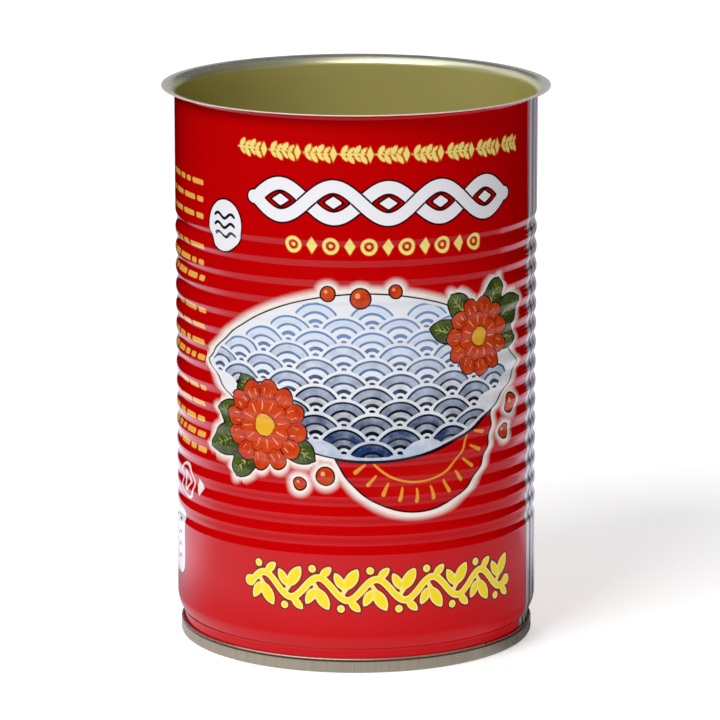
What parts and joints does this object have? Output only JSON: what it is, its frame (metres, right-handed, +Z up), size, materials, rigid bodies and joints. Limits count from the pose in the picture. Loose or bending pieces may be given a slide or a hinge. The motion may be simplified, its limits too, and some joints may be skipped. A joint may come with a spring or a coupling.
{
  "type": "sardine can",
  "caption": "Empty tall round sardine can: open at its flanged top, beaded tinplate wall printed red outside and lacquered gold inside, plain end double-seamed on below.",
  "frame": {"origin": "centre of the circle on which the can stands, at the foot of its end seam", "axes": "+Z up along the can's axis, towards the open mouth; -Y towards the front of the print; the side weld is on the +X side"},
  "size_m": [0.0786, 0.0786, 0.1132],
  "materials": {
    "printed_wall": "gloss red print and varnish on tinplate",
    "gold_lacquer": "satin gold lacquer on tinplate",
    "end_tinplate": "clear-lacquered tinplate, slightly warm"
  },
  "bodies": {
    "root": {"can_body": "printed_wall", "can_end": "end_tinplate"}
  },
  "joints": []
}
